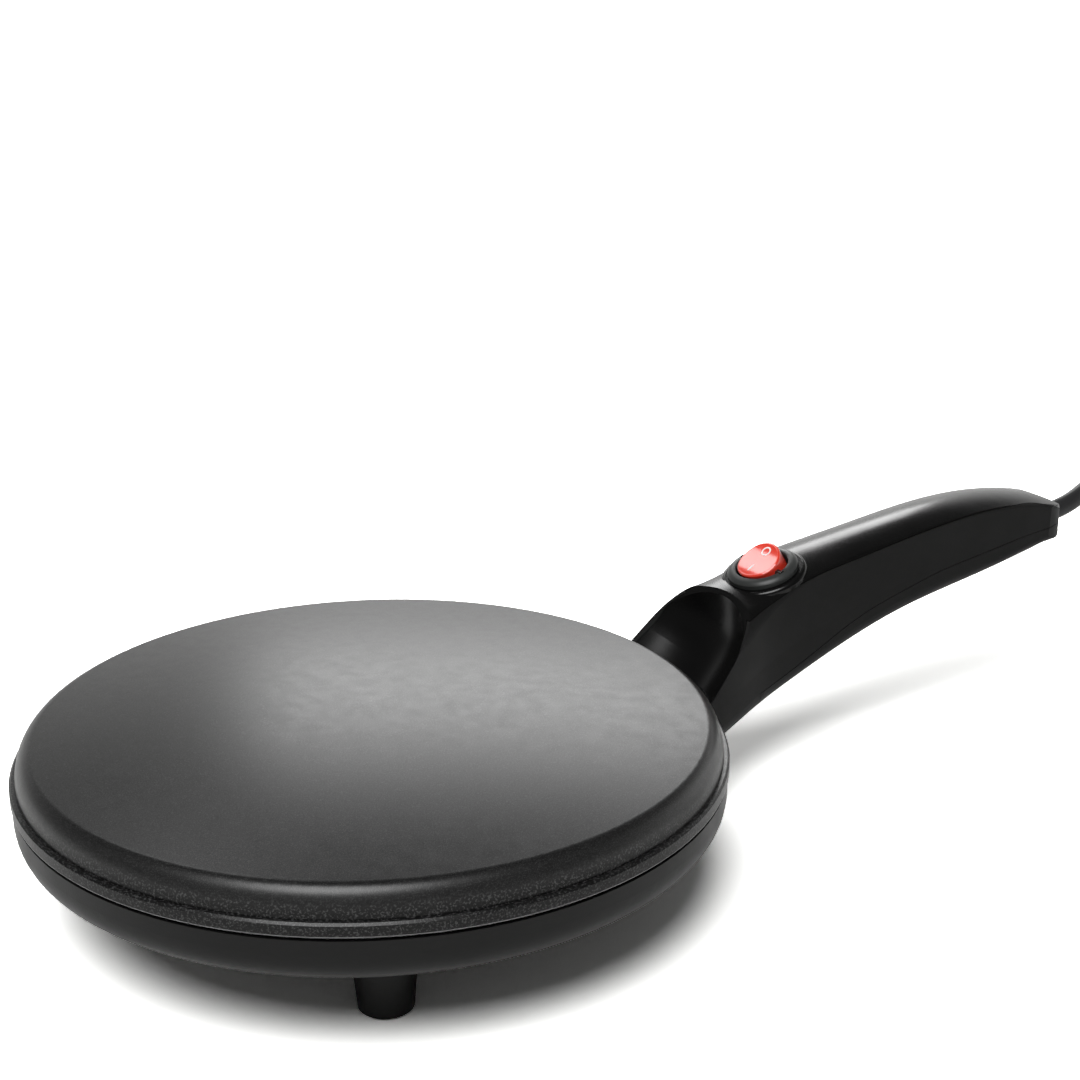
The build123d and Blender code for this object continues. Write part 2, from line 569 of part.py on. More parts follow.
def scoop(grow):
    """The thumb recess: a trough with a round end that runs down along the rim's plane."""
    lean = math.radians(SCOOP_LEAN)
    rim_radius = math.sqrt(SCOOP_RADIUS ** 2 - (SCOOP_RADIUS - SCOOP_DEPTH) ** 2)
    down = SCOOP_LIP + rim_radius
    out = SCOOP_RADIUS - SCOOP_DEPTH
    x = along(SCOOP_APEX_REACH) - down * math.cos(lean) - out * math.sin(lean)
    z = SEAM_HEIGHT + SCOOP_APEX - down * math.sin(lean) + out * math.cos(lean)
    axis = Plane(origin=(x, 0, z), z_dir=(-math.cos(lean), 0, -math.sin(lean)))
    radius = SCOOP_RADIUS + grow
    flare = math.radians(SCOOP_FLARE)
    start = (radius * math.cos(flare), -radius * math.sin(flare))
    length = 60.0
    with BuildSketch(Plane.XZ) as half:
        with BuildLine():
            CenterArc((0, 0), radius, -90, 90 - SCOOP_FLARE)
            Polyline(start, (start[0] + length * math.tan(flare), start[1] + length),
                     (0, start[1] + length), (0, -radius))
        make_face()
    trough = axis.location * revolve(half.sketch, Axis.Z)
    floor = SEAM_HEIGHT + SCOOP_FLOOR - grow
    return trough & block(x - 120, x + 80, -100, 100, floor, floor + 120)


def rim_cut():
    """What the leaning plane of the recess's rim takes off the handle."""
    lean = math.radians(SCOOP_LEAN)
    plane = Plane(origin=(along(SCOOP_APEX_REACH), 0, SEAM_HEIGHT + SCOOP_APEX),
                  z_dir=(-math.sin(lean), 0, math.cos(lean)))
    return extrude(plane * Rectangle(200, 200), 100)


def root_clearance(outer_bowl, gap):
    """Space taken by the plate and the base at the handle's root."""
    keep_out = rod(PLATE_X, 0, SEAM_HEIGHT, SEAM_HEIGHT + 60, PLATE_RADIUS + ROOT_GAP + gap)
    below = rod(PLATE_X, 0, SEAM_HEIGHT - BASE_BAND, SEAM_HEIGHT, BASE_RADIUS + gap)
    return [keep_out, below, outer_bowl]


def switch_plane():
    pitch = math.radians(SWITCH_PITCH)
    return Plane(origin=(along(SWITCH_REACH), 0, SEAM_HEIGHT + SWITCH_HEIGHT),
                 x_dir=(math.cos(pitch), 0, math.sin(pitch)),
                 z_dir=(-math.sin(pitch), 0, math.cos(pitch)))


def switch_rod(bottom, top, radius):
    """Cylinder on the switch's axis, heights measured from the bezel's face."""
    return extrude(switch_plane().offset(bottom) * Circle(radius), top - bottom)


def handle_blanks(outer_bowl):
    """Outside shape of the whole handle and the hollow inside it."""
    outer = handle_blank(0, HANDLE_SECTIONS)
    outer &= nose_plan()
    outer -= side_outline(NOSE_TOP_LINE, 200)
    outer -= side_outline(NOSE_BOTTOM_LINE, 0)
    collar = switch_rod(-BEZEL_THICKNESS - COLLAR_HEIGHT, -BEZEL_THICKNESS, COLLAR_RADIUS)
    collar = fillet(collar.edges().filter_by(GeomType.CIRCLE).sort_by(Axis.Z)[-1], 1.4)
    outer += collar
    outer -= switch_rod(-BEZEL_THICKNESS, 20, BEZEL_RADIUS + 1.0)
    outer -= rim_cut()
    for space in root_clearance(outer_bowl, 0):
        outer -= space
    outer -= side_outline(ROOT_LINE, 0)
    inner = handle_blank(HANDLE_WALL, HANDLE_SECTIONS[:CAVITY_ROWS])
    inner -= Pos(0, 0, HANDLE_WALL) * side_outline(ROOT_LINE, 0)
    for space in root_clearance(outer_bowl, HANDLE_WALL):
        inner -= space
    inner -= scoop(HANDLE_WALL)
    return outer, inner


def handle_top_cover(outer, shell):
    """Gloss cover with the recess, the collar round the switch and two screw posts."""
    cup = shell & scoop(HANDLE_WALL) & handle_blank(RIM_SKIN + COVER_GAP, HANDLE_SECTIONS)
    solid = (shell & side_outline(COVER_LINE, 200)) + cup
    for reach, seat, joint in HANDLE_SCREWS:
        solid += rod(along(reach), 0, SEAM_HEIGHT + joint, 3 * SEAM_HEIGHT, 3.6) & outer
    for reach, seat, joint in HANDLE_SCREWS:
        solid -= rod(along(reach), 0, SEAM_HEIGHT, SEAM_HEIGHT + seat + 14.0,
                     SMALL_SCREW[0] + HOLE_CLEARANCE)
    return solid


def nose_hole():
    plane = Plane(origin=(along(CORD_HOLE_REACH) - 1, 0, EXIT_Z), z_dir=(1, 0, 0))
    return extrude(plane * Circle(SLEEVE_BASE_RADIUS + HOLE_CLEARANCE), 2 * NOSE_LENGTH)


def handle_body(outer, inner, shell):
    """Satin side shell; two bosses at the root take the screws of the base's neck."""
    solid = shell - Pos(0, 0, -COVER_GAP) * side_outline(COVER_LINE, 200)
    solid -= Pos(0, 0, HANDLE_WALL) * inner
    solid -= scoop(HANDLE_WALL + COVER_GAP) & handle_blank(RIM_SKIN, HANDLE_SECTIONS)
    solid -= side_outline(PARTING_LINE, 0)
    neck_screw_seat = SEAM_HEIGHT + NECK_BOTTOM - 2.4
    for side in (1, -1):
        x, y = NECK_SCREW_X, side * NECK_SCREW_OFFSET
        solid += rod(x, y, 0, SEAM_HEIGHT + NECK_BOTTOM, 4.0) & outer
        solid -= rod(x, y, 0, neck_screw_seat, SMALL_SCREW[1] + HOLE_CLEARANCE)
        solid -= rod(x, y, 0, SEAM_HEIGHT + NECK_BOTTOM, SMALL_SCREW[0] + HOLE_CLEARANCE)
    return solid - neck_block(HOLE_CLEARANCE)


def clamp_places():
    return [(along(247), side * 6.6) for side in (1, -1)]


def handle_bottom_cover(outer, shell):
    """Lower cover with screw bosses, the saddle under the cord and the clamp's two bosses."""
    solid = shell & (Pos(COVER_GAP, 0, -COVER_GAP) * side_outline(PARTING_LINE, 0))
    clamp_z = EXIT_Z + CORD_DIAMETER / 2
    additions = [block(along(244), along(250), -2.6, 2.6, SEAM_HEIGHT, EXIT_Z - CORD_DIAMETER / 2)]
    additions += [rod(x, y, SEAM_HEIGHT, clamp_z, 2.3) for x, y in clamp_places()]
    additions += [rod(along(reach), 0, 0, SEAM_HEIGHT + joint, 4.2)
                  for reach, seat, joint in HANDLE_SCREWS]
    solid += [addition & outer for addition in additions]
    for reach, seat, joint in HANDLE_SCREWS:
        x = along(reach)
        solid -= rod(x, 0, 0, SEAM_HEIGHT + seat, SMALL_SCREW[1] + 4 * HOLE_CLEARANCE)
        solid -= rod(x, 0, 0, SEAM_HEIGHT + joint, SMALL_SCREW[0] + HOLE_CLEARANCE)
    for x, y in clamp_places():
        solid -= rod(x, y, clamp_z - 6.0, clamp_z, TINY_SCREW[0] + HOLE_CLEARANCE)
    return solid


def handle_screws():
    return [screw(along(reach), 0, SEAM_HEIGHT + seat, 13.0, SMALL_SCREW)
            for reach, seat, joint in HANDLE_SCREWS]


def neck_screws():
    seat = SEAM_HEIGHT + NECK_BOTTOM - 2.4
    length = NECK_TOP - NECK_BOTTOM + 0.8
    return [screw(NECK_SCREW_X, side * NECK_SCREW_OFFSET, seat, length, SMALL_SCREW)
            for side in (1, -1)]


# --- switch --------------------------------------------------------------------------------
def switch_body():
    """Round bezel with a raised inner rim, and the barrel behind it."""
    rim = ROCKER_HOLE_RADIUS + 0.7
    with BuildSketch(Plane.XZ) as half:
        with BuildLine():
            Polyline((0, -BARREL_DEPTH), (BARREL_RADIUS, -BARREL_DEPTH),
                     (BARREL_RADIUS, -BEZEL_THICKNESS), (BEZEL_RADIUS, -BEZEL_THICKNESS),
                     (BEZEL_RADIUS, -0.3))
            ThreePointArc((BEZEL_RADIUS, -0.3), (BEZEL_RADIUS - 0.8, BEZEL_RISE * 0.5),
                          (rim, BEZEL_RISE))
            Polyline((rim, BEZEL_RISE), (ROCKER_HOLE_RADIUS + 0.3, BEZEL_RISE),
                     (ROCKER_HOLE_RADIUS, BEZEL_RISE - 0.3),
                     (ROCKER_HOLE_RADIUS, -ROCKER_HOLE_DEPTH), (0, -ROCKER_HOLE_DEPTH),
                     (0, -BARREL_DEPTH))
        make_face()
    solid = revolve(half.sketch, Axis.Z)
    solid -= rod(0, 0, 0.6 - BARREL_DEPTH, 0, LAMP_RADIUS + HOLE_CLEARANCE)
    pivot = Plane.XZ * Circle(PIVOT_RADIUS + RUNNING_CLEARANCE)
    solid -= extrude(pivot, PIVOT_REACH + HOLE_CLEARANCE, both=True)
    return switch_plane().location * solid


def rocker_button():
    """Rocker with a dished face and two trunnions, tilted as at rest."""
    top = ROCKER_RISE + ROCKER_DISH
    with BuildSketch(Plane.XZ) as side:
        with BuildLine():
            Polyline((-ROCKER_RADIUS, top), (-ROCKER_RADIUS, -ROCKER_SKIRT),
                     (ROCKER_RADIUS, -ROCKER_SKIRT), (ROCKER_RADIUS, top))
            ThreePointArc((ROCKER_RADIUS, top), (0, ROCKER_RISE), (-ROCKER_RADIUS, top))
        make_face()
    solid = extrude(side.sketch, ROCKER_RADIUS, both=True)
    solid &= rod(0, 0, -2 * top, 2 * top, ROCKER_RADIUS)
    face = solid.faces().sort_by(Axis.Z)[-1]
    solid = fillet(face.edges(), 0.6)
    solid += extrude(Plane.XZ * Circle(PIVOT_RADIUS), PIVOT_REACH, both=True)
    return switch_plane().location * (Rot(0, -ROCKER_TILT, 0) * solid)


def indicator_lamp():
    lamp = rod(0, 0, 0.6 - BARREL_DEPTH, -ROCKER_HOLE_DEPTH - LAMP_RADIUS, LAMP_RADIUS)
    lamp += Pos(0, 0, -ROCKER_HOLE_DEPTH - LAMP_RADIUS) * Sphere(LAMP_RADIUS)
    return switch_plane().location * lamp


def switch_terminals():
    blades = []
    for step in (-1, 0, 1):
        x = step * TERMINAL_PITCH
        blade = block(x - 0.4, x + 0.4, -2.4, 2.4, -BARREL_DEPTH - TERMINAL_LENGTH, -BARREL_DEPTH)
        blades.append(switch_plane().location * blade)
    return blades


def switch_point(x, depth):
    point = switch_plane().from_local_coords((x, 0, -depth))
    return (point.X, point.Y, point.Z)


# --- cord inside the handle ----------------------------------------------------------------
def cord_clamp():
    z = EXIT_Z + CORD_DIAMETER / 2
    bar = block(along(244.4), along(249.6), -8.8, 8.8, z, z + 3)
    for x, y in clamp_places():
        bar -= rod(x, y, z, z + 3, TINY_SCREW[0] + HOLE_CLEARANCE)
    return bar


def cord_clamp_screws():
    z = EXIT_Z + CORD_DIAMETER / 2 + 3
    return [Pos(x, y, z) * Rot(180, 0, 0) * screw(0, 0, 0, 8.4, TINY_SCREW)
            for x, y in clamp_places()]


def power_cord_inner():
    start = along(CORD_HOLE_REACH) - 2.2
    plane = Plane(origin=(start, 0, EXIT_Z), z_dir=(-1, 0, 0))
    return extrude(plane * Circle(CORD_DIAMETER / 2), start - along(238))


def inside(points):
    """Way points in the handle: reach, across, height from the joint."""
    return [(along(reach), y, SEAM_HEIGHT + height) for reach, y, height in points]


def in_base(points):
    """Way points by the base's side: distance in from it, across, height from the joint."""
    return [(PLATE_X + BASE_RADIUS - depth, y, SEAM_HEIGHT + height) for depth, y, height in points]


def under_plate(points):
    """Way points under the plate: from its axis along and across, height from the joint."""
    return [(PLATE_X + x, y, SEAM_HEIGHT + height) for x, y, height in points]


def wire(points):
    return tube(points, WIRE_DIAMETER)


def pin_end(side):
    """Way points from the crimp on one of the element's pins to the side of the base."""
    y = side * lead_offset()
    pin = [(ELEMENT_REACH + 10, y, ELEMENT_HEIGHT), (ELEMENT_REACH + 17.5, y, ELEMENT_HEIGHT)]
    return under_plate(pin)


def neck_way(side):
    """Way points of a wire through the neck, from the handle to the side of the base."""
    y = side * 2.8
    middle = (NECK_TOP + NECK_BOTTOM) / 2
    return (inside([(114, y, middle)])
            + in_base([(3.5, y, middle), (10.5, side * 4.5, middle + 1.5)]))


def wire_live():
    end = [switch_point(TERMINAL_PITCH, BARREL_DEPTH + TERMINAL_LENGTH + extra) for extra in (6, 0)]
    return wire(inside([(238, 1.5, EXIT_HEIGHT), (233.5, 1.5, EXIT_HEIGHT), (229, 4.8, 19.5),
                        (222, 7.4, 17.0), (200, 7.4, 14.0), (178, 7.4, 9.5), (164, 4.5, 5.0)]) + end)


def wire_neutral():
    start = inside([(238, -1.5, EXIT_HEIGHT), (233.5, -1.5, EXIT_HEIGHT), (229, -4.8, 19.5),
                    (222, -7.4, 17.0), (200, -7.4, 14.0), (176, -7.4, 9.0), (150, -7.4, 2.5),
                    (128, -4.5, -5.5)])
    return wire(start + neck_way(-1) + in_base([(14.0, -12, -2.0)]) + pin_end(-1)[::-1])


def wire_switched():
    start = [switch_point(0, BARREL_DEPTH + TERMINAL_LENGTH + extra) for extra in (0, 5)]
    x = THERMOSTAT_DIAMETER / 2 - 2.0
    way = inside([(140, 1.5, 0.0), (128, 3.0, -5.5)]) + neck_way(1) + in_base([(17.0, 10, -3.4)])
    return wire(start + way + under_plate([(ELEMENT_REACH - 2, 11, -3.2), (32, 6, -3.2),
                                           (19, 1.5, -0.6), (13, 0, 0.4), (x, 0, 0.4)]))


def wire_thermostat():
    x = 2.0 - THERMOSTAT_DIAMETER / 2
    fuse_z = PAD_HEIGHT - FUSE_DIAMETER / 2
    return wire(under_plate([(x, 0, 0.4), (x - 6, 0, 0.4), (x - 9, -7, -0.6), (x - 4, -14, -0.6),
                             (2, -17.5, 1.0), (14, -19, 5.0), (FUSE_X, -17, fuse_z),
                             (FUSE_X, -10, fuse_z)]))


def wire_fuse():
    fuse_z = PAD_HEIGHT - FUSE_DIAMETER / 2
    start = under_plate([(FUSE_X, 10, fuse_z), (FUSE_X, 17, fuse_z), (30, 24, 2.0), (46, 27, -3.0)])
    return wire(start + in_base([(22.5, 27, -3.0), (12.5, 25, 0.5)]) + pin_end(1)[::-1])


# --- mains lead ----------------------------------------------------------------------------
def sleeve_tip():
    return (NOSE_X + SLEEVE_TIP[0], SLEEVE_TIP[1], EXIT_Z + SLEEVE_TIP[2])


def strain_relief():
    """Sleeve moulded on the cord: flange inside the nose, barrel in its hole, bent taper outside."""
    seat = along(CORD_HOLE_REACH)
    flange = Plane(origin=(seat - 2.2, 0, EXIT_Z), z_dir=(1, 0, 0))
    solid = extrude(flange * Circle(SLEEVE_BASE_RADIUS + SLEEVE_FLANGE), 2.2)
    solid += extrude(flange * Circle(SLEEVE_BASE_RADIUS), NOSE_X - seat + 2.2)
    tip = Vector(*sleeve_tip())
    leave = Vector(*cord_points()[1]) - tip
    path = Spline((NOSE_X - 2, 0, EXIT_Z), tip, tangents=((1, 0, 0), leave.normalized()))
    ends = [Plane(origin=path @ 0, z_dir=path % 0) * Circle(SLEEVE_BASE_RADIUS - 0.05),
            Plane(origin=path @ 1, z_dir=path % 1) * Circle(SLEEVE_TIP_RADIUS)]
    return solid + sweep(ends, path=path, multisection=True)


def coil_height():
    """Centre height of a turn that lies on the floor."""
    return CORD_DIAMETER / 2 + HOLE_CLEARANCE


def top_turn():
    """Radius and height of the turn that lies on the two floor turns."""
    outer, inner = COIL_RADII
    rise = math.sqrt(CORD_DIAMETER ** 2 - ((outer - inner) / 2) ** 2)
    return (outer + inner) / 2, coil_height() + rise


def cord_points():
    tip = sleeve_tip()
    points = [tip] + [(NOSE_X + dx, y, tip[2] * share) for dx, y, share in CORD_ROUTE]
    end_x = NOSE_X + COIL_CENTRE[0] + COIL_RADII[0]
    return points + [(end_x, COIL_CENTRE[1], coil_height())]


def power_cord():
    return tube(cord_points(), CORD_DIAMETER)


def power_cord_coil():
    x, y = NOSE_X + COIL_CENTRE[0], COIL_CENTRE[1]
    thickness = CORD_DIAMETER / 2 + HOLE_CLEARANCE
    turns = [Pos(x, y, coil_height()) * Torus(radius, thickness) for radius in COIL_RADII]
    radius, height = top_turn()
    turns.append(Pos(x, y, height) * Torus(radius, thickness))
    return joined(turns)


def tail_points():
    radius, height = top_turn()
    start = (NOSE_X + COIL_CENTRE[0], COIL_CENTRE[1] - radius, height)
    rise = PLUG_HEIGHT - height
    points = [start] + [(NOSE_X + dx, y, height + share * rise) for dx, y, share in TAIL_ROUTE]
    return points + [(NOSE_X + PLUG_ENTRY[0], PLUG_ENTRY[1], PLUG_HEIGHT)]


def power_cord_tail():
    return tube(tail_points(), CORD_DIAMETER)


def plug_body():
    """Two-pin plug moulded on the cord, from its thin neck to its flat face."""
    stations = [(0, 10, 10), (0.2, 11.5, 11.5), (0.42, 22, 18), (0.7, 33, 24.5), (1.0, 35.5, 26)]
    sections = []
    for share, width, height in stations:
        x = NOSE_X + PLUG_ENTRY[0] - share * PLUG_LENGTH
        plane = Plane(origin=(x, PLUG_ENTRY[1], PLUG_HEIGHT), x_dir=(0, 1, 0), z_dir=(1, 0, 0))
        sections.append(plane * RectangleRounded(width, height, min(width, height) * 0.42))
    return loft(Sketch() + sections, ruled=True)


def plug_pins():
    pins = []
    x = NOSE_X + PLUG_ENTRY[0] - PLUG_LENGTH
    for side in (1, -1):
        plane = Plane(origin=(x, PLUG_ENTRY[1] + side * PIN_SPACING / 2, PLUG_HEIGHT), z_dir=(-1, 0, 0))
        pin = extrude(plane * Circle(PIN_DIAMETER / 2), PIN_LENGTH)
        pins.append(fillet(pin.edges().sort_by(Axis.X)[0], 1.2))
    return pins


# --- all nodes -----------------------------------------------------------------------------
def main():
    bowl = bowl_blank(0)
    outer, inner = handle_blanks(bowl)
    shell = outer - scoop(0) - inner - nose_hole()
    shell -= switch_rod(-20, 0, BARREL_RADIUS + HOLE_CLEARANCE)
    nodes = {
        "base_housing": base_housing(bowl),
        "handle_top_cover": handle_top_cover(outer, shell),
        "handle_body": handle_body(outer, inner, shell),
        "handle_bottom_cover": handle_bottom_cover(outer, shell),
    }
    for name, angle in FOOT_ANGLES.items():
        nodes[name] = foot(angle, bowl)
    makers = [
        cooking_plate, heating_element, element_seals, element_pins, crimp_connectors,
        element_clips, element_clip_screws, thermostat, thermostat_bracket, thermostat_screws,
        thermal_fuse, fuse_clip, fuse_clip_screw, heat_shield, plate_screws, foot_pads,
        foot_screws, handle_screws, neck_screws, switch_body, rocker_button, indicator_lamp,
        switch_terminals, cord_clamp, cord_clamp_screws, power_cord_inner, wire_live,
        wire_neutral, wire_switched, wire_thermostat, wire_fuse, strain_relief, power_cord,
        power_cord_coil, power_cord_tail, plug_body, plug_pins,
    ]
    for maker in makers:
        nodes[maker.__name__] = maker()
    for name, points in (("power_cord", cord_points()), ("power_cord_tail", tail_points())):
        print(name, "bend radii, mm:", [round(radius, 1) for radius in bend_radii(points)])
    print("power_cord_coil turns, mm:", COIL_RADII, round(top_turn()[0], 1))
    for name, shape in nodes.items():
        if isinstance(shape, list):
            shape = Compound(shape)
        export_step(shape, f"parts/{name}.step")


main()
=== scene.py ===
"""Electric crepe maker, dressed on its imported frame: camera, mains lead, materials and light."""

import json
import math

import bpy
from mathutils import Matrix, Vector

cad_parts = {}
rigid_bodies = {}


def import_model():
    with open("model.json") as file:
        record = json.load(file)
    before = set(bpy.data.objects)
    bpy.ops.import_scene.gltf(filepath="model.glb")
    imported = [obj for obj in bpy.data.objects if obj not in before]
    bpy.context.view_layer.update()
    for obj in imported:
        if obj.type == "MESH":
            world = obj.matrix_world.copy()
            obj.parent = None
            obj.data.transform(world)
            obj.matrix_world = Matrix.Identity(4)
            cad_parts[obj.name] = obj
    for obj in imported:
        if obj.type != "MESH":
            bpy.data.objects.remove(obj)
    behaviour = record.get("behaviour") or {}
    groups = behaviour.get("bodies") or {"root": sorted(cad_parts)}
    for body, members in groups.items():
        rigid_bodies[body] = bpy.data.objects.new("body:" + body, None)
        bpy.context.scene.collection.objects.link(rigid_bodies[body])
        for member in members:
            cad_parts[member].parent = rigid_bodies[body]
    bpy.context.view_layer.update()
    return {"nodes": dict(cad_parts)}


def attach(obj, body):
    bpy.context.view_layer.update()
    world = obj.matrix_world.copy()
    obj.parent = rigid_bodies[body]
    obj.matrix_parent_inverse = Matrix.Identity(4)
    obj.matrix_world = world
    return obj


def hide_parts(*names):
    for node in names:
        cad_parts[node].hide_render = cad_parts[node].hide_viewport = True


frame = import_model()
nodes = frame["nodes"]
scene = bpy.context.scene
links = scene.collection.objects

# --- camera -----------------------------------------------------------------

CAMERA_AT = (-0.33504, -0.45285, 0.28067)
CAMERA_TURN, CAMERA_TILT, CAMERA_ROLL = -34.0, 70.97, -0.3  # degrees
FILM_WIDTH, FOCAL_LENGTH = 36.0, 66.667  # mm

camera_data = bpy.data.cameras.new("camera")
camera_data.sensor_width = FILM_WIDTH
camera_data.lens = FOCAL_LENGTH
camera_data.clip_end = 60.0  # past the far corner of the floor
camera = bpy.data.objects.new("camera", camera_data)
camera.matrix_world = (
    Matrix.Translation(CAMERA_AT)
    @ Matrix.Rotation(math.radians(CAMERA_TURN), 4, "Z")
    @ Matrix.Rotation(math.radians(CAMERA_TILT), 4, "X")
    @ Matrix.Rotation(math.radians(CAMERA_ROLL), 4, "Z")
)
links.link(camera)
scene.camera = camera

# --- mains lead: one spline from the strain relief through the coil to the plug ----

CORD_DIAMETER = 0.0056
CORD_EXIT = (0.2105, 0.0045, 0.0635)
COIL_X, COIL_Y = 0.2315, -0.075
COIL_STEPS = 45
DOWN_TO_COIL = [
    CORD_EXIT,
    (0.224, 0.011, 0.06312),
    (0.239, 0.0132, 0.05994),
    (0.253, 0.009, 0.05328),
    (0.2623, -0.001, 0.0435),
    (0.2665, -0.014, 0.03226),
    (0.2675, -0.029, 0.02102),
    (0.267, -0.044, 0.01124),
    (0.266, -0.059, 0.00514),
]
# Where the cord lies in the coil: degrees wound, radius of the turn, height
COIL_LAY = [
    (0, 0.0338, 0.0029),
    (300, 0.0338, 0.0029),
    (360, 0.0282, 0.0029),
    (645, 0.0282, 0.0029),
    (690, 0.0282, 0.0086),
    (810, 0.0282, 0.0085),
    (930, 0.0312, 0.0079),
    (1035, 0.0336, 0.0089),
    (1070, 0.0338, 0.0092),
    (1100, 0.0338, 0.0086),
    (1170, 0.0338, 0.0085),
]
TO_PLUG = [
    (0.2165, -0.1094, 0.0094),
    (0.2015, -0.1098, 0.0116),
    (0.1865, -0.110, 0.013),
    (0.1725, -0.110, 0.013),
]


def between(table, t):
    """The row of a table at t, straight between its rows."""
    for low, high in zip(table, table[1:]):
        if t <= high[0]:
            part = (t - low[0]) / (high[0] - low[0])
            return [a + part * (b - a) for a, b in zip(low[1:], high[1:])]
    return list(table[-1][1:])


def coil_points():
    """Control points of the coil, far enough out for the spline to run at the turn's radius."""
    step = COIL_LAY[-1][0] / COIL_STEPS
    spread = 1 / math.cos(math.radians(step / 2))
    points = []
    for k in range(COIL_STEPS):
        wound = (k + 0.5) * step
        radius, height = between(COIL_LAY, wound)
        angle = math.radians(-wound)
        points.append((COIL_X + radius * spread * math.cos(angle),
                       COIL_Y + radius * spread * math.sin(angle), height))
    return points


def nurbs(name, points, radius):
    """A round tube along one smooth spline."""
    curve = bpy.data.curves.new(name, "CURVE")
    curve.dimensions = "3D"
    curve.bevel_depth = 1.0  # each point's own radius is the real one
    curve.bevel_resolution = 6
    curve.resolution_u = 8
    curve.use_fill_caps = True
    spline = curve.splines.new("NURBS")
    spline.points.add(len(points) - 1)
    for point, at in zip(spline.points, points):
        point.co = (*at, 1.0)
        point.radius = radius
    spline.order_u = 3
    spline.use_endpoint_u = True
    piece = bpy.data.objects.new(name, curve)
    links.link(piece)
    return piece


cord = nurbs("mains_lead", DOWN_TO_COIL + coil_points() + TO_PLUG, CORD_DIAMETER / 2)
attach(cord, "cooker")
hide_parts("power_cord", "power_cord_coil", "power_cord_tail")

# --- marks on the rocker: a ring on its raised end, a dash on its low end -------

SWITCH_AT = (0.0549, 0.0, 0.0668)
ROCKER_LEAN = math.radians(34.0)  # pitch of the switch and tilt of the rocker at rest
FACE_RISE, FACE_RADIUS = 0.0029, 0.03841
MARK_HEIGHT = 0.00006
RING_X, RING_RADIUS, RING_HOLE = 0.0038, 0.0017, 0.0012
DASH_X, DASH_HALF_LENGTH, DASH_HALF_WIDTH = -0.0036, 0.0015, 0.00035

switch_frame = Matrix.Translation(SWITCH_AT) @ Matrix.Rotation(-ROCKER_LEAN, 4, "Y")


def on_face(outline, lift):
    """An outline laid above the rocker's dished face, in the row frame."""
    middle = FACE_RISE + FACE_RADIUS + lift
    return [switch_frame @ Vector((x, y, middle - math.sqrt(FACE_RADIUS ** 2 - x ** 2)))
            for x, y in outline]


def oval(x, half_length, half_width, count=40):
    turns = [2 * math.pi * k / count for k in range(count)]
    return [(x + half_length * math.cos(t), half_width * math.sin(t)) for t in turns]


def rocker_mark(name, outline, hole=None):
    """A thin raised mark on the rocker, with or without a hole."""
    count = len(outline)
    loops = [on_face(outline, -MARK_HEIGHT), on_face(outline, MARK_HEIGHT)]
    faces = []
    if hole:
        loops += [on_face(hole, MARK_HEIGHT), on_face(hole, -MARK_HEIGHT)]
    else:
        faces += [tuple(range(count))[::-1], tuple(range(count, 2 * count))]
    for k in range(len(loops) if hole else 1):
        low, high = k * count, (k + 1) % len(loops) * count
        for i in range(count):
            j = (i + 1) % count
            faces.append((low + i, low + j, high + j, high + i))
    mesh = bpy.data.meshes.new(name)
    mesh.from_pydata([point for loop in loops for point in loop], [], faces)
    mark = bpy.data.objects.new(name, mesh)
    links.link(mark)
    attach(mark, "rocker")
    return mark


marks = [
    rocker_mark("rocker_ring_mark", oval(RING_X, RING_RADIUS, RING_RADIUS),
                oval(RING_X, RING_HOLE, RING_HOLE)),
    rocker_mark("rocker_dash_mark", oval(DASH_X, DASH_HALF_LENGTH, DASH_HALF_WIDTH)),
]

# --- materials --------------------------------------------------------------

NOISE_RANGE = (0.3, 0.7)  # most of a noise lies here
# Where a finish changes, from one side of the change to the other: heights on the hot plate, and
# the reach across the rocker where the painted shade on its trunnions begins
DOME_EDGE = (0.0507, 0.0492)
RIM_TOP = (0.0475, 0.0455)
SHOULDER_FOOT = (0.0440, 0.0460)
FACED_EDGE = (0.0391, 0.0389)
ROCKER_SHADE_EDGE = (0.00733, 0.00736)
COATING, COATING_GRAIN, BARE_PLATE = (0.004,) * 3, (0.055,) * 3, (0.62, 0.62, 0.63)
# The rocker's second colour is painted shade: near black on its trunnions, where the bezel would
# shade them
ROCKER_RED, PIN_PAINTED_SHADE = (0.75, 0.045, 0.022), (0.012,) * 3

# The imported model's own materials are named after the record's slots
slot_names = {material: material.name for material in bpy.data.materials}
for material in slot_names:
    material.name = "packed_" + material.name


def add_node(tree, kind, inputs=(), **settings):
    """A shader node with its settings, and each of its inputs linked or set."""
    node = tree.nodes.new(kind)
    for key, value in settings.items():
        setattr(node, key, value)
    for key, value in dict(inputs).items():
        if isinstance(value, bpy.types.NodeSocket):
            tree.links.new(value, node.inputs[key])
        else:
            node.inputs[key].default_value = value
    return node


def calc(tree, operation, *values):
    """The result of a Math node."""
    return add_node(tree, "ShaderNodeMath", dict(enumerate(values)),
                    operation=operation).outputs[0]


